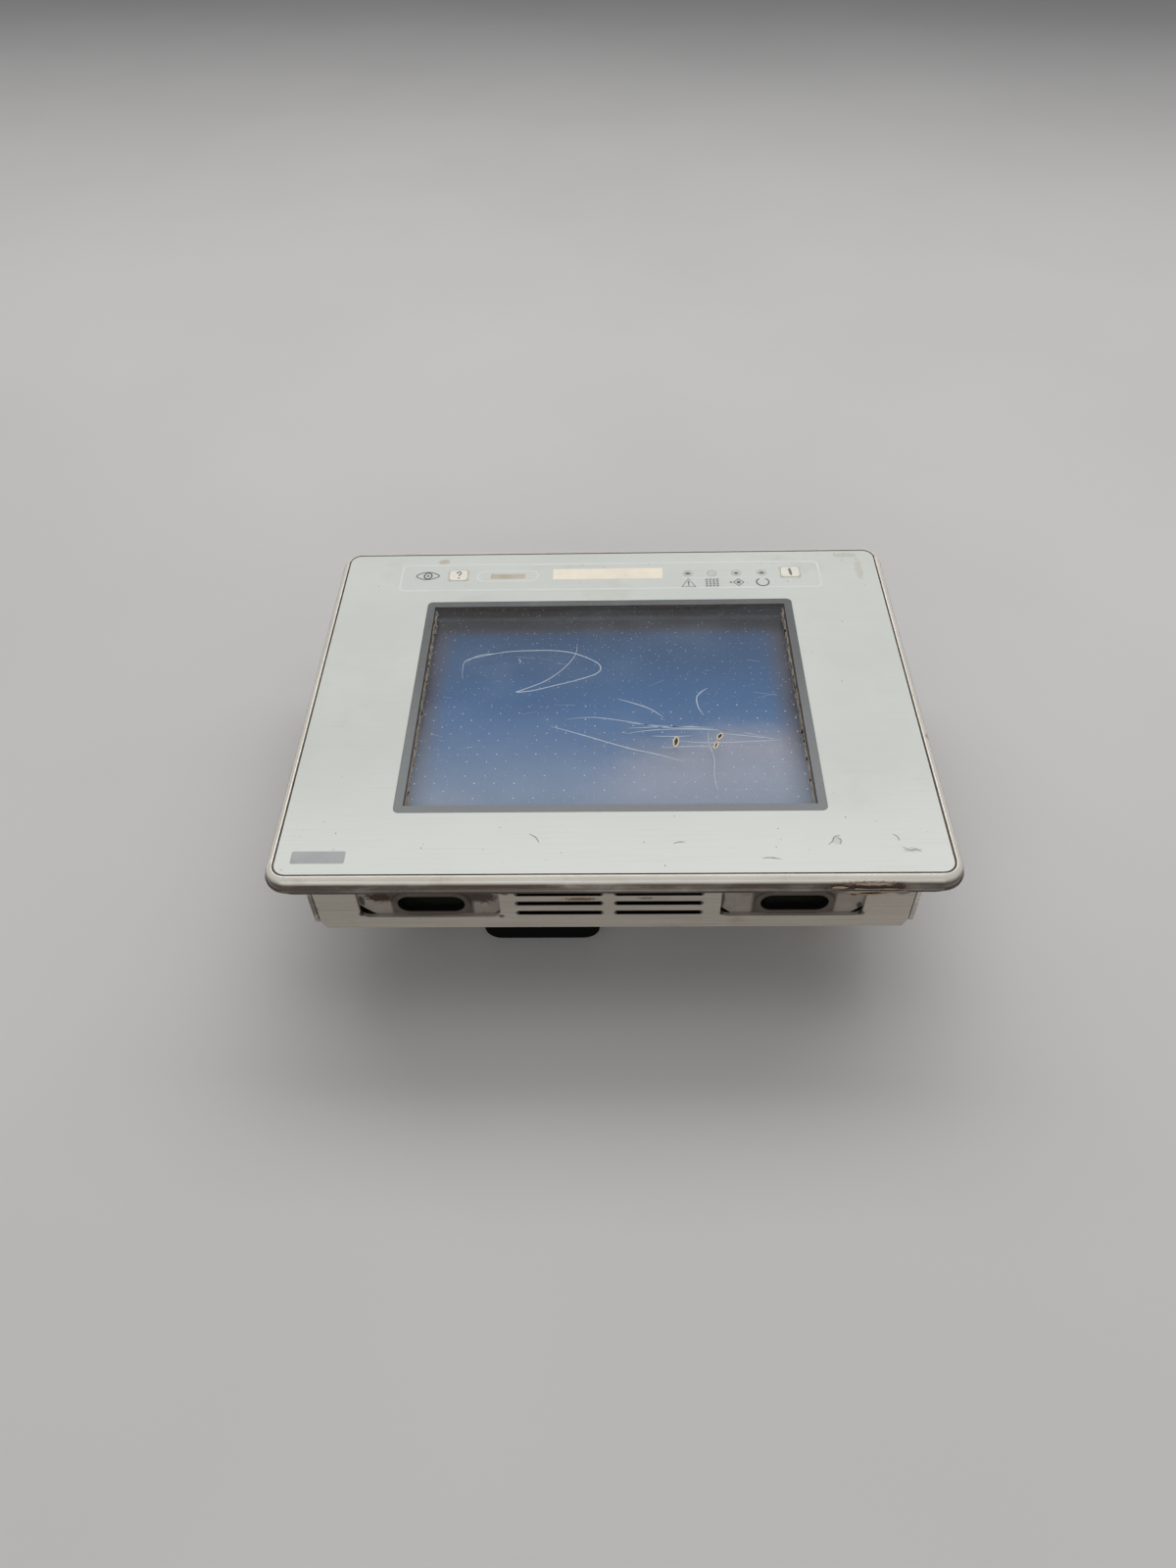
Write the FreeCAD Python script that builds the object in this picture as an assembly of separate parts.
import FreeCAD, Part
import math
import os

# Operator touch panel for a control cabinet, lying on its back with the screen up.
# All lengths are millimetres.  X runs along the long side of the face, Y up the face
# and Z out of the face.  Z = 0 is the rear of the connector housing it rests on.

V = FreeCAD.Vector
ALONG_X = V(1, 0, 0)
ALONG_Y = V(0, 1, 0)
ALONG_Z = V(0, 0, 1)

# --- levels along Z ---------------------------------------------------------
RIM_Z = 51.6
FACE_Z = 51.4
POCKET_Z = 50.9
RECESS_Z = 49.5
BEZEL_BACK_Z = 47.2
CHASSIS_BACK_Z = 46.0
COVER_BACK_Z = 19.8
BEVEL_Z = 22.7
SHEET = 1.2
COVER_FLOOR_Z = COVER_BACK_Z + SHEET

# --- bezel and overlay ------------------------------------------------------
FACE_W = 187.0
FACE_H = 147.0
FACE_R = 7.0
LIP_T = 0.7
LIP_STEP = 0.3
EDGE_R = 3.0
OVERLAY_W = 181.4
OVERLAY_H = 141.4
OVERLAY_R = 3.8
OVERLAY_GAP = 0.2
GASKET_W = 184.6
GASKET_H = 144.6
GASKET_HOLE_W = 171.4
GASKET_HOLE_H = 131.4
GASKET_T = 2.0

# --- window, touch glass and display, all on one centre -----------------------
WIN_X = -0.6
WIN_Y = -2.3
WINDOW_W = 115.5
WINDOW_H = 88.0
SURROUND_W = 120.6
SURROUND_H = 93.2
SURROUND_R = 1.8
SURROUND_GAP = 0.05
GLASS_W = 120.0
GLASS_H = 92.4
GLASS_T = 2.0
GLASS_GAP = 0.2
SEAL_OUT_W = 119.6
SEAL_OUT_H = 92.0
SEAL_IN_W = 116.4
SEAL_IN_H = 88.8
LCD_W = 146.0
LCD_H = 100.0
LCD_BACK_Z = 38.9
LCD_FRONT_T = 0.4
LCD_WALL = 0.6
LCD_VIEW_W = 115.4
LCD_VIEW_H = 86.6
LCD_GLASS_T = 2.0
LCD_TAB = 8.0
LCD_TAB_T = 0.8
LCD_TAB_Y = 38.0
LCD_SCREW_OUT = 4.5
GUIDE_W = 136.0
GUIDE_H = 93.0
LAMP_R = 1.3
LAMP_L = 139.0
LAMP_Y = -47.2
LAMP_Z = 41.4
LAMP_CAP = 4.4
BACK_BOARD_T = 1.3
BOARD_T = 1.6

# --- key and lamp strip above the window --------------------------------------
STRIP_Y = 58.5
STRIP_W = 146.0
STRIP_Y0 = 52.6
STRIP_Y1 = 64.2
LED_X = (26.3, 34.4, 42.7, 51.3)
LENS_HEAD_R = 1.5
LENS_STEM_R = 1.2
LENS_GAP = 0.1
LED_BOARD_W = 140.0
LED_BOARD_H = 10.6
LED_BOARD_Z0 = 47.3
LED_BOARD_Z1 = 48.5
LED_SIZE = 1.4
LED_T = 0.7
KEY_W = 6.4
KEY_H = 5.4
KEY_R = 1.1
KEY_Y = 58.65
HELP_KEY_X = -52.1
ALARM_KEY_X = 61.0
KEY_RISE = 0.25
KEY_HOLE_GAP = 0.2
KEY_FLANGE = 0.8
KEY_FLANGE_T = 0.4
KEY_FLANGE_DROP = 0.15
KEY_WELL_GAP = 0.35
KEY_STEM_R = 1.7
KEY_STEM_Z = 49.75
DOME_R = 2.6
DOME_Z = 49.25

# --- sheet metal case -----------------------------------------------------------
SIDE_OUT = 85.2
CASE_OUT_Y = 65.2
COVER_HALF_W = 83.7
BEVEL_HALF_W = 82.5
COVER_TOP_Z = 46.9
CHASSIS_OPEN_W = 121.2
CHASSIS_OPEN_H = 93.6
FLANGE_TOP_Z = 33.0
CASE_SCREW_Y = (-48.0, 0.0, 48.0)
CASE_SCREW_Z = 28.0
WINDOW_SLOT_XS = (-51.6, 50.4)
WINDOW_SLOT_W = 40.0
WINDOW_SLOT_Z0 = 24.9
WINDOW_SLOT_Z1 = 42.4
WINDOW_SLOT_R = 2.5
VENT_T = 1.9
VENT_Z = (26.7, 31.1, 35.4, 39.7)
VENT_SPANS = ((-27.3, -2.4), (0.5, 25.6))

# --- clamp plates behind the four case windows ----------------------------------
CLAMP_X = 50.9
CLAMP_Z = 30.7
CLAMP_W = 44.0
CLAMP_T = 1.5
CLAMP_Z0 = 24.0
CLAMP_Z1 = 44.4
CLAMP_NOTCH = 6.0
CLAMP_FLANGE = 7.0
COLLAR_W = 22.0
COLLAR_H = 10.0
COLLAR_RISE = 1.0
COLLAR_FLARE = 0.55
SLOT_W = 19.0
SLOT_H = 6.9

# --- connector housing ------------------------------------------------------------
HOUSING_HALF_W = 70.0
HOUSING_HALF_H = 46.0
HOUSING_R = 3.0
HOUSING_EDGE_R = 1.0
TAB_W = 10.0
TAB_Y = 30.0
TAB_SCREW_OUT = 5.0
BOSS_R = 3.5
BOSS_Z = 2.4
POWER_SCREW_X = 55.0
POWER_SCREW_Y = (-32.0, 35.0)
SUB_X = 30.0
SUB_Z = 10.6
SUB_FLANGE_W = 53.0
SUB_FLANGE_H = 12.5
SUB_FLANGE_T = 0.8
SUB_SHELL_W = 38.9
SUB_SHELL_H = 8.4
SUB_SHELL_T = 0.5
SUB_FRONT_Y = -51.8
SUB_REAR_Y = -39.2
SUB_REAR_W = 38.0
SUB_REAR_H = 9.6
SUB_PITCH = 2.77
SUB_ROW = 1.42
SUB_HOLE_R = 0.6
SUB_HOLE_DEPTH = 4.0
SUB_JACK = 23.5
JACK_AF = 4.8
JACK_L = 5.0
AUX_X = -21.25
AUX_Z = 6.6
AUX_W = 31.2
AUX_H = 7.6
AUX_WALL = 1.0
AUX_FRONT_Y = -54.5
AUX_FLOOR_Y = -46.5
AUX_REAR_Y = -40.0
AUX_PIN = 0.64
AUX_PITCH = 2.54
AUX_COLUMNS = 10
CAP_W = 34.7
CAP_H = 11.2
CAP_R = 5.0
CAP_END_Y = -56.3
CAP_MOUTH_Y = -46.3
CAP_FLOOR_T = 1.5
CAP_HOLE_W = 31.8
CAP_HOLE_H = 8.2
CAP_HOLE_R = 0.8
INLET_X = -53.5
INLET_Z = 9.0
INLET_W = 18.4
INLET_H = 8.8
INLET_WALL = 1.0
INLET_FRONT_Y = -51.0
INLET_FLOOR_Y = -43.5
INLET_REAR_Y = -40.0
INLET_PIN = 1.1
INLET_PITCH = 5.08
EARTH_X = 64.0
EARTH_Z = 10.0
EARTH_R = 2.0
EARTH_ROOT_R = 2.5
EARTH_NUT_AF = 8.0
EARTH_NUT_Y = -50.0
EARTH_TIP_Y = -55.0

# --- boards -------------------------------------------------------------------------
MAIN_W = 152.0
MAIN_Y0 = -50.0
MAIN_Y1 = 40.0
MAIN_Z = 26.0
MAIN_TOP_Z = MAIN_Z + BOARD_T
MAIN_SCREW_X = 71.0
MAIN_SCREW_Y = (-45.0, 35.0)
LAMP_BOARD_X0 = -55.0
LAMP_BOARD_X1 = 35.0
LAMP_BOARD_Y0 = 43.5
LAMP_BOARD_Y1 = 58.5
LAMP_SCREW_X = (-51.0, 31.0)
LAMP_SCREW_Y = 51.0
POWER_W = 120.0
POWER_Y0 = -38.0
POWER_Y1 = 40.0
POWER_TOP_Z = BOSS_Z + BOARD_T
HEADER_TOP_Z = 31.2
WIRE_R = 0.65
ARC_SHARE = 0.45

# --- fasteners, M3 pan heads -----------------------------------------------------------
SCREW_R = 1.5
SCREW_HEAD_R = 2.8
SCREW_HEAD_T = 1.8
SCREW_CLEAR_R = 1.7
RECESS_ARM = 3.0
RECESS_W = 0.6
RECESS_DEPTH = 0.9
CHASSIS_SCREW_L = 3.0
CASE_SCREW_L = 2.8
BOARD_SCREW_L = 3.2
BEZEL_SCREW_X = 79.0
BEZEL_SCREW_Y = (-58.0, 2.0, 58.0)


def box(x0, x1, y0, y1, z0, z1):
    """Block between two corners."""
    return Part.makeBox(x1 - x0, y1 - y0, z1 - z0, V(x0, y0, z0))


def block(cx, cy, w, h, z0, z1):
    """Block centred on a point in plan."""
    return box(cx - w / 2, cx + w / 2, cy - h / 2, cy + h / 2, z0, z1)


def slab(cx, cy, w, h, r, z0, z1):
    """Block centred in plan with rounded upright edges."""
    body = block(cx, cy, w, h, z0, z1)
    upright = [e for e in body.Edges if abs(e.Vertexes[0].Z - e.Vertexes[1].Z) > (z1 - z0) / 2]
    return body.makeFillet(r, upright)


def rod(x, y, r, z0, z1):
    """Round bar along Z."""
    return Part.makeCylinder(r, z1 - z0, V(x, y, z0))


def stand_up(shape):
    """Turn a shape drawn in plan so its height runs towards -Y and its plan Y becomes Z."""
    turned = shape.copy()
    turned.rotate(V(0, 0, 0), ALONG_X, 90)
    return turned


def plate_y(cx, cz, w, h, r, y0, y1):
    """Rounded block facing along Y, between two Y levels."""
    return stand_up(slab(cx, cz, w, h, r, -y1, -y0))


def rod_y(x, z, r, y0, y1):
    """Round bar along Y."""
    return Part.makeCylinder(r, y1 - y0, V(x, y0, z), ALONG_Y)


def hexagon_y(x, z, across_flats, y0, y1):
    """Hexagonal bar along Y."""
    reach = across_flats / math.sqrt(3)
    corners = []
    for i in range(7):
        turn = math.radians(60 * i)
        corners.append(V(x + reach * math.cos(turn), y0, z + reach * math.sin(turn)))
    return Part.Face(Part.makePolygon(corners)).extrude(V(0, y1 - y0, 0))


def cut_all(body, tools):
    """Take every tool away from the body."""
    return body.cut(Part.makeCompound(tools)).removeSplitter()


def join(shapes):
    """One solid from touching shapes."""
    return shapes[0].fuse(shapes[1:]).removeSplitter()


def mirrored(shape, normal):
    """Mirror image through the origin."""
    return shape.mirror(V(0, 0, 0), normal)


def save(name, *solids):
    """Write one node; several solids make a group."""
    shape = solids[0] if len(solids) == 1 else Part.makeCompound(solids)
    shape.exportStep("parts/" + name + ".step")


def screw(point, direction, length):
    """Pan head screw whose seat is at the point and whose shank runs in the direction."""
    shank = Part.makeCylinder(SCREW_R, length + SCREW_HEAD_T / 2, V(0, 0, -SCREW_HEAD_T / 2))
    head = Part.makeCylinder(SCREW_HEAD_R, SCREW_HEAD_T, V(0, 0, -SCREW_HEAD_T))
    crown = [e for e in head.Edges if abs(e.BoundBox.ZMax + SCREW_HEAD_T) < SCREW_HEAD_T / 4]
    head = head.makeFillet(SCREW_HEAD_T / 2, crown)
    bottom = -SCREW_HEAD_T + RECESS_DEPTH
    arms = [block(0, 0, RECESS_ARM, RECESS_W, -SCREW_HEAD_T, bottom),
            block(0, 0, RECESS_W, RECESS_ARM, -SCREW_HEAD_T, bottom)]
    solid = cut_all(join([head, shank]), arms)
    placed = solid.copy()
    placed.Placement = FreeCAD.Placement(V(*point), FreeCAD.Rotation(ALONG_Z, direction))
    return placed


def bent_strip(points, width_axis, centre, width, thickness):
    """Flat cable folded square at each corner of a path of (plan, Z) points."""
    pieces = []
    half = thickness / 2
    for (a0, z0), (a1, z1) in zip(points, points[1:]):
        low_a, high_a = min(a0, a1) - half, max(a0, a1) + half
        low_z, high_z = min(z0, z1) - half, max(z0, z1) + half
        if width_axis == "y":
            pieces.append(box(low_a, high_a, centre - width / 2, centre + width / 2, low_z, high_z))
        else:
            pieces.append(box(centre - width / 2, centre + width / 2, low_a, high_a, low_z, high_z))
    return join(pieces)


def wire_along(points, radius):
    """Round wire of straight runs joined by tangent arcs."""
    corners = [V(*p) for p in points]
    edges = []
    start = corners[0]
    for before, corner, after in zip(corners, corners[1:], corners[2:]):
        back = (before - corner).normalize()
        ahead = (after - corner).normalize()
        reach = min(before.distanceToPoint(corner), after.distanceToPoint(corner)) * ARC_SHARE
        half_turn = (math.pi - back.getAngle(ahead)) / 2
        arc_r = reach / math.tan(half_turn)
        middle = corner + (back + ahead).normalize() * (arc_r / math.cos(half_turn) - arc_r)
        enter = corner + back * reach
        leave = corner + ahead * reach
        edges.append(Part.makeLine(start, enter))
        edges.append(Part.Arc(enter, middle, leave).toShape())
        start = leave
    edges.append(Part.makeLine(start, corners[-1]))
    profile = Part.Wire([Part.makeCircle(radius, corners[0], corners[1] - corners[0])])
    return Part.Wire(edges).makePipeShell([profile], True, True)


# --- front face -----------------------------------------------------------------------

def key_hole(x, w, h, r, z0, z1):
    """Opening for one key."""
    return slab(x, KEY_Y, w, h, r, z0, z1)


def bezel_frame():
    """Cast frame: rounded rim with a thin rear lip, and a floor that carries the overlay."""
    lip = slab(0, 0, FACE_W, FACE_H, FACE_R, BEZEL_BACK_Z, BEZEL_BACK_Z + LIP_T)
    inset = LIP_STEP * 2
    rim = slab(0, 0, FACE_W - inset, FACE_H - inset, FACE_R - LIP_STEP, BEZEL_BACK_Z, RIM_Z)
    crest = [e for e in rim.Edges if e.BoundBox.ZMin > RIM_Z - LIP_STEP]
    rim = rim.makeFillet(EDGE_R, crest)
    body = join([lip, rim])
    pocket_w = OVERLAY_W + OVERLAY_GAP * 2
    pocket_h = OVERLAY_H + OVERLAY_GAP * 2
    tools = [slab(0, 0, pocket_w, pocket_h, OVERLAY_R + OVERLAY_GAP, POCKET_Z, RIM_Z + SHEET)]
    opening_w = GLASS_W + GLASS_GAP * 2
    opening_h = GLASS_H + GLASS_GAP * 2
    tools.append(block(WIN_X, WIN_Y, opening_w, opening_h, BEZEL_BACK_Z - SHEET, RIM_Z))
    tools.append(box(-STRIP_W / 2, STRIP_W / 2, STRIP_Y0, STRIP_Y1, BEZEL_BACK_Z - SHEET, RECESS_Z))
    for x in LED_X:
        tools.append(rod(x, STRIP_Y, LENS_STEM_R + LENS_GAP, RECESS_Z - SHEET, POCKET_Z + SHEET))
    well = (KEY_FLANGE + KEY_WELL_GAP) * 2
    for x in (HELP_KEY_X, ALARM_KEY_X):
        tools.append(key_hole(x, KEY_W + well, KEY_H + well, KEY_R, RECESS_Z - SHEET, POCKET_Z + SHEET))
    for sx in (-1, 1):
        for y in BEZEL_SCREW_Y:
            tools.append(rod(sx * BEZEL_SCREW_X, y, SCREW_R, BEZEL_BACK_Z - SHEET, BEZEL_BACK_Z + 2))
    for sx, edge, y in lcd_tab_spots():
        tools.append(rod(edge + sx * LCD_SCREW_OUT, y, SCREW_R, BEZEL_BACK_Z - SHEET, BEZEL_BACK_Z + SHEET))
    right = WIN_X + opening_w / 2
    tools.append(box(right - SHEET, right + 2, -9, 9, BEZEL_BACK_Z - SHEET, 50))
    tools.append(box(right - SHEET, 76.5, -9, 9, BEZEL_BACK_Z - SHEET, BEZEL_BACK_Z + LIP_T))
    save("bezel_frame", cut_all(body, tools))


def front_overlay():
    """Printed polyester sheet with openings for the window, two keys and four lenses."""
    sheet = slab(0, 0, OVERLAY_W, OVERLAY_H, OVERLAY_R, POCKET_Z, FACE_Z)
    low, high = POCKET_Z - SHEET, FACE_Z + SHEET
    gap = SURROUND_GAP * 2
    tools = [slab(WIN_X, WIN_Y, SURROUND_W + gap, SURROUND_H + gap, SURROUND_R, low, high)]
    for x in LED_X:
        tools.append(rod(x, STRIP_Y, LENS_HEAD_R + LENS_GAP, low, high))
    grow = KEY_HOLE_GAP * 2
    for x in (HELP_KEY_X, ALARM_KEY_X):
        tools.append(key_hole(x, KEY_W + grow, KEY_H + grow, KEY_R + KEY_HOLE_GAP, low, high))
    save("front_overlay", cut_all(sheet, tools))


def window_surround():
    """Dark border of the touch film around the window."""
    ring = slab(WIN_X, WIN_Y, SURROUND_W, SURROUND_H, SURROUND_R, POCKET_Z, FACE_Z)
    hole = block(WIN_X, WIN_Y, WINDOW_W, WINDOW_H, POCKET_Z - SHEET, FACE_Z + SHEET)
    save("window_surround", ring.cut(hole))


def touch_glass():
    """Resistive touch glass just behind the border."""
    save("touch_glass", block(WIN_X, WIN_Y, GLASS_W, GLASS_H, POCKET_Z - GLASS_T, POCKET_Z))


def lcd_dust_seal():
    """Foam ring between the display frame and the touch glass."""
    ring = block(WIN_X, WIN_Y, SEAL_OUT_W, SEAL_OUT_H, CHASSIS_BACK_Z, POCKET_Z - GLASS_T)
    hole = block(WIN_X, WIN_Y, SEAL_IN_W, SEAL_IN_H, 0, RIM_Z)
    save("lcd_dust_seal", ring.cut(hole))


def panel_gasket():
    """Rubber ring that seals the bezel to the cabinet door."""
    z0 = BEZEL_BACK_Z - GASKET_T
    ring = slab(0, 0, GASKET_W, GASKET_H, FACE_R, z0, BEZEL_BACK_Z)
    hole = slab(0, 0, GASKET_HOLE_W, GASKET_HOLE_H, SHEET, z0 - SHEET, RIM_Z)
    save("panel_gasket", ring.cut(hole))


def front_key(name, x):
    """Key cap with a retaining flange under the overlay and a stem above its dome."""
    cap = slab(x, KEY_Y, KEY_W, KEY_H, KEY_R, POCKET_Z - KEY_FLANGE_DROP, FACE_Z + KEY_RISE)
    top = [e for e in cap.Edges if e.BoundBox.ZMin > FACE_Z]
    cap = cap.makeFillet(KEY_RISE, top)
    under = POCKET_Z - KEY_FLANGE_DROP
    grow = KEY_FLANGE * 2
    flange = slab(x, KEY_Y, KEY_W + grow, KEY_H + grow, KEY_R, under - KEY_FLANGE_T, under)
    stem = rod(x, KEY_Y, KEY_STEM_R, KEY_STEM_Z, under)
    save(name, join([cap, flange, stem]))


def led_lenses():
    """Four clear lenses, each with a head in the overlay and a stem through the bezel floor."""
    lenses = []
    for x in LED_X:
        head = rod(x, STRIP_Y, LENS_HEAD_R, POCKET_Z, FACE_Z)
        stem = rod(x, STRIP_Y, LENS_STEM_R, RECESS_Z, POCKET_Z)
        lenses.append(join([head, stem]))
    save("led_lenses", *lenses)


def led_board():
    """Narrow board in the recess behind the strip, with its lamps and key domes."""
    board = block(0, STRIP_Y, LED_BOARD_W, LED_BOARD_H, LED_BOARD_Z0, LED_BOARD_Z1)
    save("led_board", board)
    lamps = [block(x, STRIP_Y, LED_SIZE, LED_SIZE, LED_BOARD_Z1, LED_BOARD_Z1 + LED_T) for x in LED_X]
    save("status_leds", *lamps)
    domes = []
    rise = DOME_Z - LED_BOARD_Z1
    for x in (HELP_KEY_X, ALARM_KEY_X):
        ball_r = (DOME_R ** 2 + rise ** 2) / (2 * rise)
        ball = Part.makeSphere(ball_r, V(x, KEY_Y, DOME_Z - ball_r))
        domes.append(ball.common(block(x, KEY_Y, DOME_R * 2, DOME_R * 2, LED_BOARD_Z1, DOME_Z)))
    save("key_domes", *domes)


# --- display --------------------------------------------------------------------------

def lcd_tab_spots():
    """Screw centre and outer limits of each display tab."""
    spots = []
    for sx in (-1, 1):
        edge = WIN_X + sx * LCD_W / 2
        for sy in (-1, 1):
            spots.append((sx, edge, WIN_Y + sy * LCD_TAB_Y))
    return spots


def lcd_frame():
    """Folded metal frame round the display, with four screw tabs."""
    body = block(WIN_X, WIN_Y, LCD_W, LCD_H, LCD_BACK_Z, CHASSIS_BACK_Z)
    tabs = []
    holes = []
    for sx, edge, y in lcd_tab_spots():
        x0, x1 = sorted((edge - sx * LCD_WALL / 2, edge + sx * LCD_TAB))
        tabs.append(box(x0, x1, y - LCD_TAB / 2, y + LCD_TAB / 2, CHASSIS_BACK_Z - LCD_TAB_T, CHASSIS_BACK_Z))
        holes.append(rod(edge + sx * LCD_SCREW_OUT, y, SCREW_CLEAR_R, 0, RIM_Z))
    wall = LCD_WALL * 2
    front = CHASSIS_BACK_Z - LCD_FRONT_T
    hollow = block(WIN_X, WIN_Y, LCD_W - wall, LCD_H - wall, LCD_BACK_Z - SHEET, front)
    view = block(WIN_X, WIN_Y, LCD_VIEW_W, LCD_VIEW_H, LCD_BACK_Z, RIM_Z)
    left = WIN_X - LCD_W / 2
    y = WIN_Y + LAMP_Y
    lead_way = box(left - SHEET, left + SHEET, y - LAMP_CAP / 2, y + LAMP_CAP / 2, LCD_BACK_Z - SHEET, LAMP_Z + 2)
    save("lcd_frame", cut_all(join([body] + tabs), holes + [hollow, view, lead_way]))


def lcd_stack():
    """Liquid crystal cell, light guide and driver board, from front to back."""
    wall = (LCD_WALL + LENS_GAP) * 2
    front = CHASSIS_BACK_Z - LCD_FRONT_T
    cell_back = front - LCD_GLASS_T
    save("lcd_glass", block(WIN_X, WIN_Y, LCD_W - wall, LCD_H - wall, cell_back, front))
    save("light_guide", block(WIN_X, WIN_Y + SHEET, GUIDE_W, GUIDE_H - SHEET, LCD_BACK_Z, cell_back))
    save("lcd_driver_board", block(WIN_X, WIN_Y, LCD_W - wall / 2, LCD_H - wall / 2,
                                   LCD_BACK_Z - BACK_BOARD_T, LCD_BACK_Z))


def backlight():
    """Cold cathode tube along the lower edge of the light guide, held in rubber end caps."""
    y = WIN_Y + LAMP_Y
    tube = Part.makeCylinder(LAMP_R, LAMP_L, V(WIN_X - LAMP_L / 2, y, LAMP_Z), ALONG_X)
    save("backlight_lamp", tube)
    caps = []
    for sx in (-1, 1):
        x = WIN_X + sx * (LAMP_L / 2 + LENS_GAP)
        cap = block(x, y - LENS_GAP, LAMP_CAP, LAMP_CAP - LENS_GAP * 2, LCD_BACK_Z, LCD_BACK_Z + LAMP_CAP)
        bore = Part.makeCylinder(LAMP_R, LAMP_L, V(WIN_X - LAMP_L / 2, y, LAMP_Z), ALONG_X)
        caps.append(cap.cut(bore))
    save("lamp_end_caps", *caps)


# --- sheet metal case -------------------------------------------------------------------

def front_chassis():
    """Flat front plate with the two long side walls folded back."""
    half = CASE_OUT_Y - SHEET - SURROUND_GAP
    plate = box(-SIDE_OUT, SIDE_OUT, -half, half, CHASSIS_BACK_Z, BEZEL_BACK_Z)
    walls = []
    for x0 in (-SIDE_OUT, SIDE_OUT - SHEET):
        walls.append(box(x0, x0 + SHEET, -CASE_OUT_Y, CASE_OUT_Y, BEVEL_Z, BEZEL_BACK_Z))
    body = join([plate] + walls)
    tools = [block(WIN_X, WIN_Y, CHASSIS_OPEN_W, CHASSIS_OPEN_H, 0, RIM_Z)]
    tools.append(block(0, 56.5, 24, 3, 0, RIM_Z))
    tools.append(box(73.8, 76.5, -9, 9, 0, RIM_Z))
    for sx, edge, y in lcd_tab_spots():
        tools.append(rod(edge + sx * LCD_SCREW_OUT, y, SCREW_R, CHASSIS_BACK_Z - SHEET, BEZEL_BACK_Z + SHEET))
    for sx in (-1, 1):
        for y in BEZEL_SCREW_Y:
            tools.append(rod(sx * BEZEL_SCREW_X, y, SCREW_CLEAR_R, CHASSIS_BACK_Z - SHEET, RIM_Z))
        for y in CASE_SCREW_Y:
            start = V(sx * (SIDE_OUT - SHEET * 2), y, CASE_SCREW_Z)
            tools.append(Part.makeCylinder(SCREW_CLEAR_R, SHEET * 3, start, ALONG_X * sx))
    save("front_chassis", cut_all(body, tools))


def channel(half_w, half_bevel, floor_z, bevel_z, top_z, half_y):
    """Prism with the cover's outline: upright sides and two bevelled rear corners."""
    outline = [V(-half_w, -half_y, top_z), V(-half_w, -half_y, bevel_z), V(-half_bevel, -half_y, floor_z),
               V(half_bevel, -half_y, floor_z), V(half_w, -half_y, bevel_z), V(half_w, -half_y, top_z)]
    return Part.Face(Part.makePolygon(outline + outline[:1])).extrude(V(0, half_y * 2, 0))


def rear_cover():
    """Folded cover: rear plate, upper and lower walls with vents, low side flanges."""
    outer = channel(COVER_HALF_W, BEVEL_HALF_W, COVER_BACK_Z, BEVEL_Z, COVER_TOP_Z, CASE_OUT_Y)
    lean = math.atan2(COVER_HALF_W - BEVEL_HALF_W, BEVEL_Z - COVER_BACK_Z)
    side_turn = SHEET * math.tan(lean / 2)
    floor_turn = SHEET * math.tan((math.pi / 2 - lean) / 2)
    inner = channel(COVER_HALF_W - SHEET, BEVEL_HALF_W - floor_turn, COVER_FLOOR_Z, BEVEL_Z + side_turn,
                    RIM_Z, CASE_OUT_Y - SHEET)
    tools = [inner]
    reach = CASE_OUT_Y - SHEET
    within = COVER_HALF_W - SHEET * 2
    for x0, x1 in ((-SIDE_OUT, -within), (within, SIDE_OUT)):
        tools.append(box(x0, x1, -reach, reach, FLANGE_TOP_Z, RIM_Z))
    for sy in (-1, 1):
        y0, y1 = sorted((sy * (reach - SHEET), sy * (CASE_OUT_Y + SHEET)))
        mid = (WINDOW_SLOT_Z0 + WINDOW_SLOT_Z1) / 2
        tall = WINDOW_SLOT_Z1 - WINDOW_SLOT_Z0
        for x in WINDOW_SLOT_XS:
            tools.append(plate_y(x, mid, WINDOW_SLOT_W, tall, WINDOW_SLOT_R, y0, y1))
        for x0, x1 in VENT_SPANS:
            for z in VENT_Z:
                r = VENT_T / 2 - SURROUND_GAP
                tools.append(plate_y((x0 + x1) / 2, z, x1 - x0, VENT_T, r, y0, y1))
    for sx in (-1, 1):
        for y in CASE_SCREW_Y:
            start = V(sx * within, y, CASE_SCREW_Z)
            tools.append(Part.makeCylinder(SCREW_R, SHEET * 3, start, ALONG_X * sx))
        for sy in (-1, 1):
            x = sx * (HOUSING_HALF_W + TAB_SCREW_OUT)
            tools.append(rod(x, sy * TAB_Y, SCREW_R, COVER_BACK_Z - SHEET, COVER_FLOOR_Z + SHEET))
    tools.append(slab(52, -26, 24, 16, 2, COVER_BACK_Z - SHEET, COVER_FLOOR_Z + SHEET))
    save("rear_cover", cut_all(outer, tools))


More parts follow.
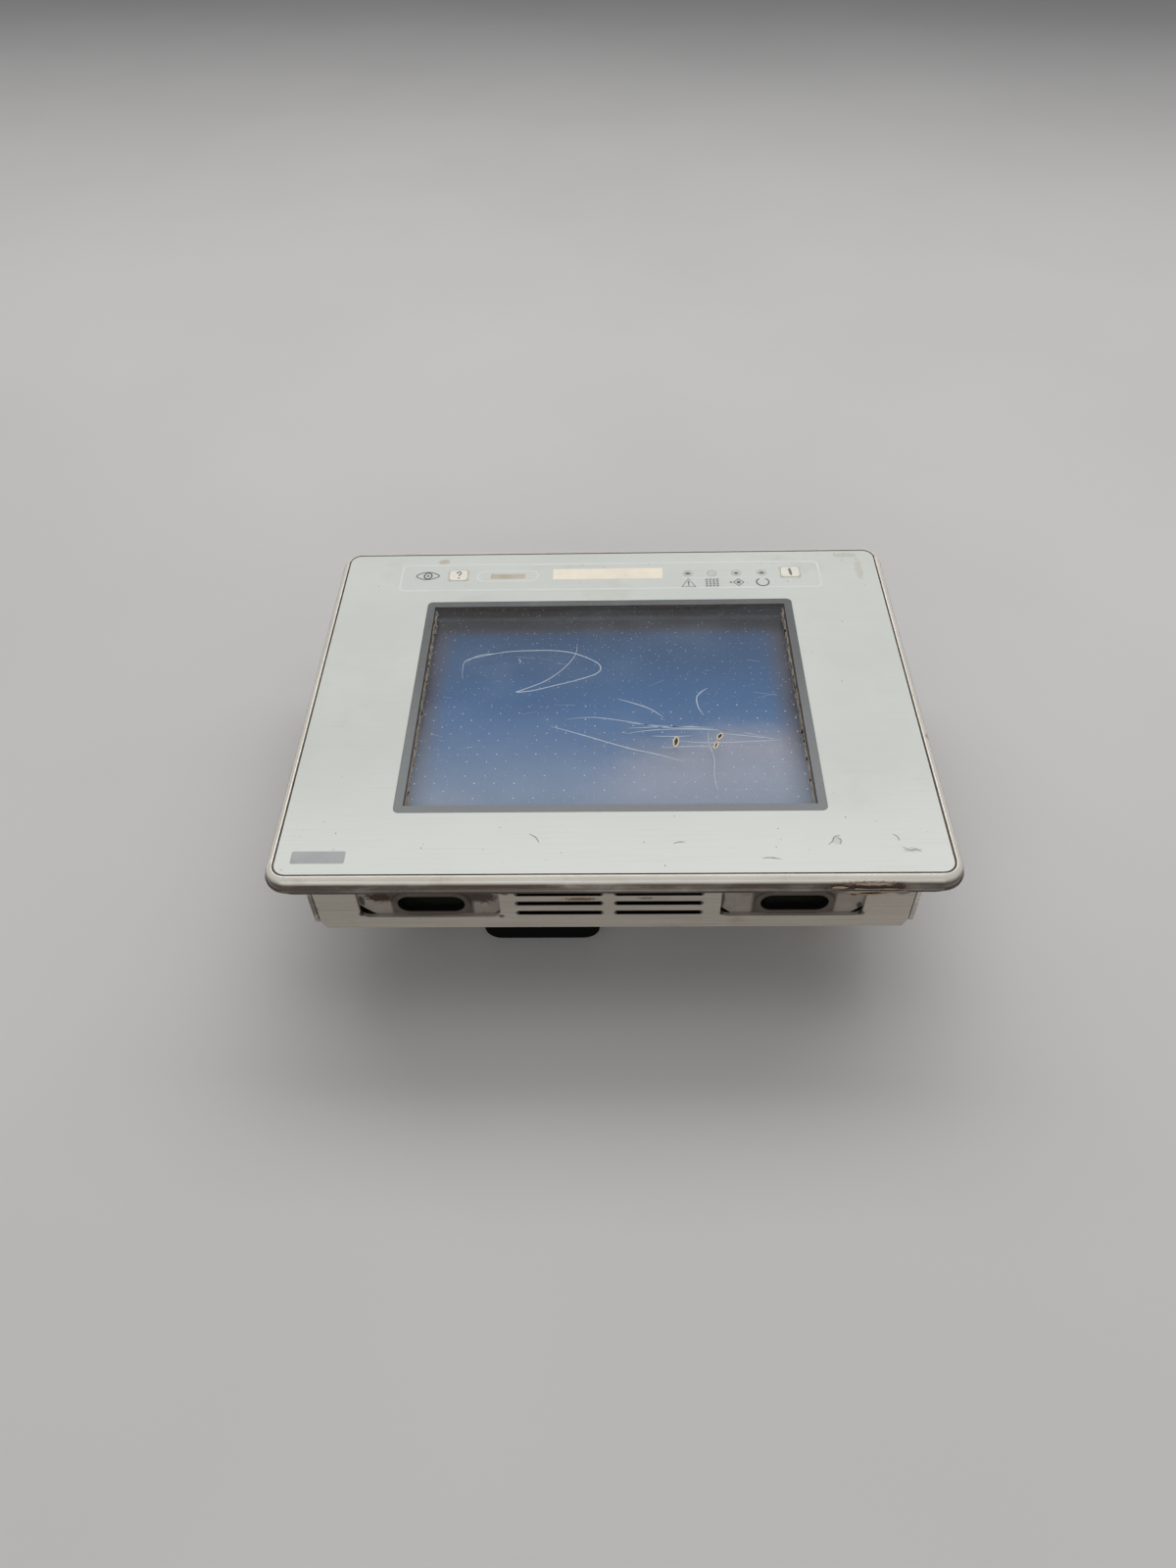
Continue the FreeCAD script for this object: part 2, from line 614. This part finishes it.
def clamp_plate():
    """Inner plate behind one case window, with a dished collar round an oblong slot."""
    inner_y = -(CASE_OUT_Y - SHEET)
    cx = CLAMP_X - 0.5
    x0, x1 = cx - CLAMP_W / 2, cx + CLAMP_W / 2
    plate = box(x0, x1, inner_y, inner_y + CLAMP_T, CLAMP_Z0, CLAMP_Z1)
    lower = [e for e in plate.Edges
             if e.BoundBox.ZMax < CLAMP_Z0 + CLAMP_T and e.BoundBox.YLength > e.BoundBox.XLength]
    plate = plate.makeChamfer(CLAMP_NOTCH, lower)
    flange = box(x0, x1, inner_y, inner_y + CLAMP_T + CLAMP_FLANGE, CLAMP_Z1 - CLAMP_T, CLAMP_Z1)
    ends = []
    for grow, y in ((COLLAR_FLARE * 2, inner_y), (0, inner_y - COLLAR_RISE)):
        w, h = COLLAR_W + grow, COLLAR_H + grow
        section = plate_y(CLAMP_X, CLAMP_Z, w, h, h / 2 - SURROUND_GAP, y, y + SHEET)
        faces = [f for f in section.Faces if f.BoundBox.YLength < SURROUND_GAP]
        ends.append(min(faces, key=lambda f: f.BoundBox.YMin).OuterWire)
    collar = Part.makeLoft(ends, True)
    slot = plate_y(CLAMP_X, CLAMP_Z, SLOT_W, SLOT_H, SLOT_H / 2 - SURROUND_GAP,
                   inner_y - COLLAR_RISE - SHEET, inner_y + CLAMP_T + SHEET)
    return join([plate, flange, collar]).cut(slot)


def clamp_plates():
    """The same plate at the four windows."""
    plate = clamp_plate()
    save("clamp_plate_bottom_right", plate)
    save("clamp_plate_bottom_left", mirrored(plate, ALONG_X))
    upper = mirrored(plate, ALONG_Y)
    save("clamp_plate_top_right", upper)
    save("clamp_plate_top_left", mirrored(upper, ALONG_X))


# --- connector housing --------------------------------------------------------------------

def d_outline(grow, y0, y1):
    """Tapered D section of the connector shell between two Y levels."""
    slope = math.tan(math.radians(10))
    half_h = SUB_SHELL_H / 2 + grow
    top = SUB_SHELL_W / 2 + grow
    low = top - half_h * 2 * slope
    corners = [V(SUB_X - top, y0, SUB_Z + half_h), V(SUB_X + top, y0, SUB_Z + half_h),
               V(SUB_X + low, y0, SUB_Z - half_h), V(SUB_X - low, y0, SUB_Z - half_h)]
    body = Part.Face(Part.makePolygon(corners + corners[:1])).extrude(V(0, y1 - y0, 0))
    edges = [e for e in body.Edges if e.BoundBox.YLength > (y1 - y0) / 2]
    return body.makeFillet(2 + grow, edges)


def rear_housing():
    """Shallow sheet box on the back: floor with board bosses, connector wall, four tabs."""
    outer = slab(0, 0, HOUSING_HALF_W * 2, HOUSING_HALF_H * 2, HOUSING_R, 0, COVER_BACK_Z)
    rear = [e for e in outer.Edges if e.BoundBox.ZMax < HOUSING_EDGE_R]
    outer = outer.makeFillet(HOUSING_EDGE_R, rear)
    grow = SHEET * 2
    inner = slab(0, 0, HOUSING_HALF_W * 2 - grow, HOUSING_HALF_H * 2 - grow, HOUSING_R - SHEET,
                 SHEET, COVER_BACK_Z + SHEET)
    added = [outer.cut(inner)]
    holes = []
    for sx in (-1, 1):
        for sy in (-1, 1):
            x0, x1 = sorted((sx * (HOUSING_HALF_W - SHEET), sx * (HOUSING_HALF_W + TAB_W)))
            y = sy * TAB_Y
            added.append(box(x0, x1, y - TAB_W / 2, y + TAB_W / 2, COVER_BACK_Z - SHEET, COVER_BACK_Z))
            holes.append(rod(sx * (HOUSING_HALF_W + TAB_SCREW_OUT), y, SCREW_CLEAR_R, SHEET, RIM_Z))
        for y in POWER_SCREW_Y:
            added.append(rod(sx * POWER_SCREW_X, y, BOSS_R, SHEET / 2, BOSS_Z))
            holes.append(rod(sx * POWER_SCREW_X, y, SCREW_R, SHEET / 2, RIM_Z))
    y0, y1 = -HOUSING_HALF_H - SHEET, -HOUSING_HALF_H + SHEET * 2
    holes.append(plate_y(SUB_X, SUB_Z, SUB_REAR_W + 0.6, SUB_REAR_H + 0.6, 1, y0, y1))
    holes.append(plate_y(AUX_X, AUX_Z, AUX_W + 0.4, AUX_H + 0.4, 0.5, y0, y1))
    holes.append(plate_y(INLET_X, INLET_Z, INLET_W + 0.4, INLET_H + 0.4, 0.5, y0, y1))
    holes.append(rod_y(EARTH_X, EARTH_Z, EARTH_ROOT_R + 0.1, y0, y1))
    for sx in (-1, 1):
        holes.append(rod_y(SUB_X + sx * SUB_JACK, SUB_Z, SCREW_R, y0, y1))
    for i in range(9):
        x = (i - 4) * 12
        holes.append(plate_y(x, COVER_BACK_Z / 2, 2, 10, 0.9, HOUSING_HALF_H - SHEET * 2, HOUSING_HALF_H + SHEET))
    save("rear_housing", cut_all(join(added), holes))


def serial_socket():
    """25 way D connector: steel shell, moulded body, solder tails and two jack screws."""
    flange = plate_y(SUB_X, SUB_Z, SUB_FLANGE_W, SUB_FLANGE_H, 1.5,
                     -HOUSING_HALF_H - SUB_FLANGE_T, -HOUSING_HALF_H)
    tube = d_outline(0, SUB_FRONT_Y, -HOUSING_HALF_H)
    bore = d_outline(-SUB_SHELL_T, SUB_FRONT_Y - SHEET, -HOUSING_HALF_H + SHEET)
    holes = [bore]
    for sx in (-1, 1):
        holes.append(rod_y(SUB_X + sx * SUB_JACK, SUB_Z, SCREW_R, SUB_FRONT_Y, 0))
    save("dsub_shell", cut_all(join([flange, tube]), holes))

    front = d_outline(-SUB_SHELL_T, SUB_FRONT_Y + SUB_SHELL_T, -HOUSING_HALF_H)
    rear = plate_y(SUB_X, SUB_Z, SUB_REAR_W, SUB_REAR_H, 1, -HOUSING_HALF_H, SUB_REAR_Y)
    sockets = []
    tails = []
    for row, count in ((1, 13), (-1, 12)):
        z = SUB_Z + row * SUB_ROW
        down_y = SUB_REAR_Y + (3.6 if row > 0 else 2.2)
        for i in range(count):
            x = SUB_X + (i - (count - 1) / 2) * SUB_PITCH
            sockets.append(rod_y(x, z, SUB_HOLE_R, SUB_FRONT_Y, SUB_FRONT_Y + SUB_HOLE_DEPTH))
            along = box(x - 0.3, x + 0.3, SUB_REAR_Y, down_y + 0.3, z - 0.3, z + 0.3)
            down = box(x - 0.3, x + 0.3, down_y - 0.3, down_y + 0.3, POWER_TOP_Z, z + 0.3)
            tails.append(join([along, down]))
    save("dsub_insert", cut_all(join([front, rear]), sockets))
    save("dsub_tails", *tails)

    jacks = []
    seat = -HOUSING_HALF_H - SUB_FLANGE_T
    for sx in (-1, 1):
        x = SUB_X + sx * SUB_JACK
        post = hexagon_y(x, SUB_Z, JACK_AF, seat - JACK_L, seat)
        shank = rod_y(x, SUB_Z, SCREW_R, seat, -HOUSING_HALF_H + SHEET * 2)
        bore = rod_y(x, SUB_Z, SCREW_R - 0.25, seat - JACK_L - 1, seat - 1)
        jacks.append(join([post, shank]).cut(bore))
    save("dsub_jackscrews", *jacks)


def aux_port():
    """Shrouded 20 way port with square pins."""
    body = plate_y(AUX_X, AUX_Z, AUX_W, AUX_H, 0.5, AUX_FRONT_Y, AUX_REAR_Y)
    collar = plate_y(AUX_X, AUX_Z, AUX_W + 3, AUX_H + 2, 0.5, -HOUSING_HALF_H + SHEET, -HOUSING_HALF_H + SHEET * 2)
    wall = AUX_WALL * 2
    cavity = plate_y(AUX_X, AUX_Z, AUX_W - wall, AUX_H - wall, 0.3, AUX_FRONT_Y - 1, AUX_FLOOR_Y)
    half = AUX_PIN / 2
    ways = []
    pins = []
    for row in (-1, 1):
        z = AUX_Z + row * AUX_PITCH / 2
        down_y = AUX_REAR_Y + (4.2 if row > 0 else 2.6)
        for i in range(AUX_COLUMNS):
            x = AUX_X + (i - (AUX_COLUMNS - 1) / 2) * AUX_PITCH
            ways.append(box(x - half, x + half, AUX_FLOOR_Y - 1, AUX_REAR_Y + 1, z - half, z + half))
            pin = box(x - half, x + half, AUX_FRONT_Y + 1, down_y + half, z - half, z + half)
            down = box(x - half, x + half, down_y - half, down_y + half, POWER_TOP_Z, z + half)
            pins.append(join([pin, down]))
    save("aux_port_shroud", cut_all(join([body, collar]), [cavity] + ways))
    save("aux_port_pins", *pins)


def dust_cap():
    """Push-on cap over the shrouded port."""
    cap = plate_y(AUX_X, AUX_Z, CAP_W, CAP_H, CAP_R, CAP_END_Y, CAP_MOUTH_Y)
    end = [e for e in cap.Edges if e.BoundBox.YMax < CAP_END_Y + SURROUND_GAP]
    cap = cap.makeFillet(0.6, end)
    hollow = plate_y(AUX_X, AUX_Z, CAP_HOLE_W, CAP_HOLE_H, CAP_HOLE_R,
                     CAP_END_Y + CAP_FLOOR_T, CAP_MOUTH_Y + SHEET)
    save("dust_cap", cap.cut(hollow))


def power_inlet():
    """Three way power header with square pins."""
    half = INLET_PIN / 2
    body = plate_y(INLET_X, INLET_Z, INLET_W, INLET_H, 0.6, INLET_FRONT_Y, INLET_REAR_Y)
    wall = INLET_WALL * 2
    cavity = plate_y(INLET_X, INLET_Z, INLET_W - wall, INLET_H - wall, 0.3, INLET_FRONT_Y - 1, INLET_FLOOR_Y)
    collar = plate_y(INLET_X, INLET_Z, INLET_W + 2, INLET_H + 2, 0.6,
                     -HOUSING_HALF_H + SHEET, -HOUSING_HALF_H + SHEET * 2)
    ways = []
    pins = []
    for i in range(3):
        x = INLET_X + (i - 1) * INLET_PITCH
        low, high = INLET_Z - half, INLET_Z + half
        ways.append(box(x - half, x + half, INLET_FLOOR_Y - 1, INLET_REAR_Y + 1, low, high))
        down_y = INLET_REAR_Y + 4
        along = box(x - half, x + half, INLET_FRONT_Y + 1.5, down_y + half, low, high)
        down = box(x - half, x + half, down_y - half, down_y + half, POWER_TOP_Z, high)
        pins.append(join([along, down]))
    save("power_header", cut_all(join([body, collar]), [cavity] + ways))
    save("power_header_pins", *pins)


def earth_point():
    """Stepped earth stud: a root held by its washer and nut, and a free end for a ring terminal."""
    inner = -HOUSING_HALF_H + SHEET
    free = rod_y(EARTH_X, EARTH_Z, EARTH_R, EARTH_TIP_Y, EARTH_NUT_Y)
    tip = [e for e in free.Edges if e.BoundBox.YMax < EARTH_TIP_Y + 0.1]
    root = rod_y(EARTH_X, EARTH_Z, EARTH_ROOT_R, EARTH_NUT_Y, inner)
    head = rod_y(EARTH_X, EARTH_Z, EARTH_ROOT_R + 1, inner, inner + 0.8)
    save("earth_stud", join([free.makeChamfer(0.4, tip), root, head]))
    washer = rod_y(EARTH_X, EARTH_Z, EARTH_ROOT_R + 2.4, -HOUSING_HALF_H - 0.8, -HOUSING_HALF_H)
    nut = hexagon_y(EARTH_X, EARTH_Z, EARTH_NUT_AF, EARTH_NUT_Y, -HOUSING_HALF_H - 0.8)
    bore = rod_y(EARTH_X, EARTH_Z, EARTH_ROOT_R, EARTH_TIP_Y, 0)
    save("earth_nut", washer.cut(bore), nut.cut(bore))


def rating_plate():
    """Blank metal plate on the rear cover, above the housing."""
    save("rating_plate", slab(0, 55.5, 64, 12, 1, COVER_BACK_Z - 0.3, COVER_BACK_Z))


# --- boards and what sits on them ------------------------------------------------------------

def main_board():
    """Main board on standoffs above the cover floor."""
    board = box(-MAIN_W / 2, MAIN_W / 2, MAIN_Y0, MAIN_Y1, MAIN_Z, MAIN_TOP_Z)
    holes = []
    for sx in (-1, 1):
        for y in MAIN_SCREW_Y:
            holes.append(rod(sx * MAIN_SCREW_X, y, SCREW_CLEAR_R, 0, RIM_Z))
    save("main_board", cut_all(board, holes))


def lamp_board():
    """Lamp supply board above the main board's upper edge, with its transformer."""
    board = box(LAMP_BOARD_X0, LAMP_BOARD_X1, LAMP_BOARD_Y0, LAMP_BOARD_Y1, MAIN_Z, MAIN_TOP_Z)
    holes = [rod(x, LAMP_SCREW_Y, SCREW_CLEAR_R, 0, RIM_Z) for x in LAMP_SCREW_X]
    save("inverter_board", cut_all(board, holes))
    core = block(-24, 51, 26, 11, MAIN_TOP_Z, MAIN_TOP_Z + 5)
    winding = slab(-24, 51, 17, 12.6, 1.5, MAIN_TOP_Z + 0.6, MAIN_TOP_Z + 5.8)
    save("inverter_transformer", join([core, winding]))
    y = WIN_Y + LAMP_Y
    runs = []
    for drop in (0.0, 1.9):
        points = [(-53.5 + drop, 45.5, MAIN_TOP_Z), (-53.5 + drop, 45.5, 34.5), (-66, 43.5 - drop, 35.5),
                  (-77.8 + drop, 33, 35.2), (-77 + drop, 2, 35.8), (-77.8 + drop, -28, 37.5),
                  (-78.4 + drop, y, 40.4 + drop), (-72.6, y, 40.4 + drop)]
        runs.append(wire_along(points, WIRE_R))
    save("lamp_wires", *runs)


def board_supports():
    """Round standoffs under the main and lamp boards."""
    posts = []
    for x, y in support_spots():
        post = rod(x, y, 2.75, COVER_FLOOR_Z, MAIN_Z)
        posts.append(post.cut(rod(x, y, SCREW_R, COVER_FLOOR_Z + SHEET, RIM_Z)))
    save("board_standoffs", *posts)


def support_spots():
    """Where the standoffs stand."""
    spots = []
    for sx in (-1, 1):
        for y in MAIN_SCREW_Y:
            spots.append((sx * MAIN_SCREW_X, y))
    for x in LAMP_SCREW_X:
        spots.append((x, LAMP_SCREW_Y))
    return spots


def main_board_parts():
    """Processor, smaller chips, capacitors, clock cell, buzzer and cable headers."""
    top = MAIN_TOP_Z
    save("processor", slab(8, -8, 30, 30, 1.2, top, top + 3.4))
    chips = []
    for i in range(4):
        chips.append(block(40, -26 + i * 14, 20, 11, top, top + 2.4))
    for i in range(3):
        chips.append(block(-24, -36 + i * 15, 10, 13, top, top + 2.2))
    chips.append(block(8, 20, 12, 8, top, top + 2.0))
    chips.append(block(16, 51, 14, 9, top, top + 2.0))
    save("board_chips", *chips)
    cans = []
    for i in range(5):
        can = rod(-58 + i * 10, 24, 4, top, top + 7.5)
        crown = [e for e in can.Edges if e.BoundBox.ZMin > top + 7]
        cans.append(can.makeFillet(0.5, crown))
    save("main_capacitors", *cans)
    holder = rod(-56, -36, 11.5, top, top + 3.6).cut(rod(-56, -36, 10.1, top + 0.8, top + 9))
    save("cell_holder", holder)
    save("coin_cell", rod(-56, -36, 10, top + 0.8, top + 4))
    sounder = rod(62, 26, 6, top, top + 6.5)
    save("buzzer", sounder.cut(rod(62, 26, 1, top + 5, top + 9)))
    headers = [block(-50, -10, 34, 5, top, HEADER_TOP_Z),
               block(0, 36, 20, 5, top, HEADER_TOP_Z),
               box(72, 76, -9, 9, top, HEADER_TOP_Z)]
    save("main_headers", *headers)


def flat_cables():
    """Folded flat cables from the display, the key board and the touch glass."""
    save("lcd_ribbon", bent_strip([(-18, LCD_BACK_Z - BACK_BOARD_T - 0.25), (-18, 34.6), (-10, 34.6),
                                   (-10, HEADER_TOP_Z + 0.25)], "x", -50, 30, 0.5))
    save("led_ribbon", bent_strip([(56.5, LED_BOARD_Z0 - 0.25), (56.5, 34.6), (36, 34.6),
                                   (36, HEADER_TOP_Z + 0.25)], "x", 0, 16, 0.5))
    right = WIN_X + GLASS_W / 2
    save("touch_flex", bent_strip([(right + 0.15, 49.3), (right + 1.4, 49.3), (right + 1.4, 47.55),
                                   (75.1, 47.55), (75.1, HEADER_TOP_Z + 0.15)], "y", 0, 14, 0.3))


def power_board():
    """Power board on the housing bosses, its parts, and the link to the main board."""
    board = box(-POWER_W / 2, POWER_W / 2, POWER_Y0, POWER_Y1, BOSS_Z, POWER_TOP_Z)
    holes = []
    for sx in (-1, 1):
        for y in POWER_SCREW_Y:
            holes.append(rod(sx * POWER_SCREW_X, y, SCREW_CLEAR_R, 0, RIM_Z))
    save("power_board", cut_all(board, holes))
    core = block(-30, 2, 30, 22, POWER_TOP_Z, POWER_TOP_Z + 9)
    winding = slab(-30, 2, 21, 28, 2, POWER_TOP_Z + 1, POWER_TOP_Z + 11)
    save("power_transformer", join([core, winding]))
    cans = []
    for i in range(3):
        can = rod(-6 + i * 14, 22, 5, POWER_TOP_Z, POWER_TOP_Z + 12)
        crown = [e for e in can.Edges if e.BoundBox.ZMin > POWER_TOP_Z + 11]
        cans.append(can.makeFillet(0.6, crown))
    save("power_capacitors", *cans)
    fins = [block(14, -6, 30, 26, POWER_TOP_Z, POWER_TOP_Z + 2)]
    for i in range(6):
        fins.append(block(0.5 + i * 5.4, -6, 1.4, 26, POWER_TOP_Z + 1, POWER_TOP_Z + 11))
    save("power_heatsink", join(fins))
    links = []
    for i in range(4):
        x = 46 + i * 4
        points = [(x, -26, POWER_TOP_Z), (x, -26, 8), (x, -24.5, 14), (x, -26, 20), (x, -26, MAIN_Z)]
        links.append(wire_along(points, WIRE_R))
    save("link_wires", *links)


# --- fasteners ---------------------------------------------------------------------------------

def fasteners():
    """Three sets of pan head screws."""
    front = []
    for sx in (-1, 1):
        for y in BEZEL_SCREW_Y:
            front.append(screw((sx * BEZEL_SCREW_X, y, CHASSIS_BACK_Z), ALONG_Z, CHASSIS_SCREW_L))
    for sx, edge, y in lcd_tab_spots():
        seat = CHASSIS_BACK_Z - LCD_TAB_T
        front.append(screw((edge + sx * LCD_SCREW_OUT, y, seat), ALONG_Z, CHASSIS_SCREW_L))
    save("chassis_screws", *front)
    case = []
    for sx in (-1, 1):
        for y in CASE_SCREW_Y:
            case.append(screw((sx * SIDE_OUT, y, CASE_SCREW_Z), ALONG_X * -sx, CASE_SCREW_L))
        for sy in (-1, 1):
            x = sx * (HOUSING_HALF_W + TAB_SCREW_OUT)
            case.append(screw((x, sy * TAB_Y, COVER_BACK_Z - SHEET), ALONG_Z, CASE_SCREW_L))
    save("case_screws", *case)
    boards = [screw((x, y, MAIN_TOP_Z), ALONG_Z * -1, BOARD_SCREW_L) for x, y in support_spots()]
    for sx in (-1, 1):
        for y in POWER_SCREW_Y:
            boards.append(screw((sx * POWER_SCREW_X, y, POWER_TOP_Z), ALONG_Z * -1, BOARD_SCREW_L))
    save("board_screws", *boards)


def main():
    """Write every node."""
    os.makedirs("parts", exist_ok=True)
    bezel_frame()
    front_overlay()
    window_surround()
    touch_glass()
    lcd_dust_seal()
    panel_gasket()
    front_key("help_key", HELP_KEY_X)
    front_key("alarm_key", ALARM_KEY_X)
    led_lenses()
    led_board()
    lcd_frame()
    lcd_stack()
    backlight()
    front_chassis()
    rear_cover()
    clamp_plates()
    rear_housing()
    serial_socket()
    aux_port()
    dust_cap()
    power_inlet()
    earth_point()
    rating_plate()
    main_board()
    lamp_board()
    board_supports()
    main_board_parts()
    flat_cables()
    power_board()
    fasteners()


main()
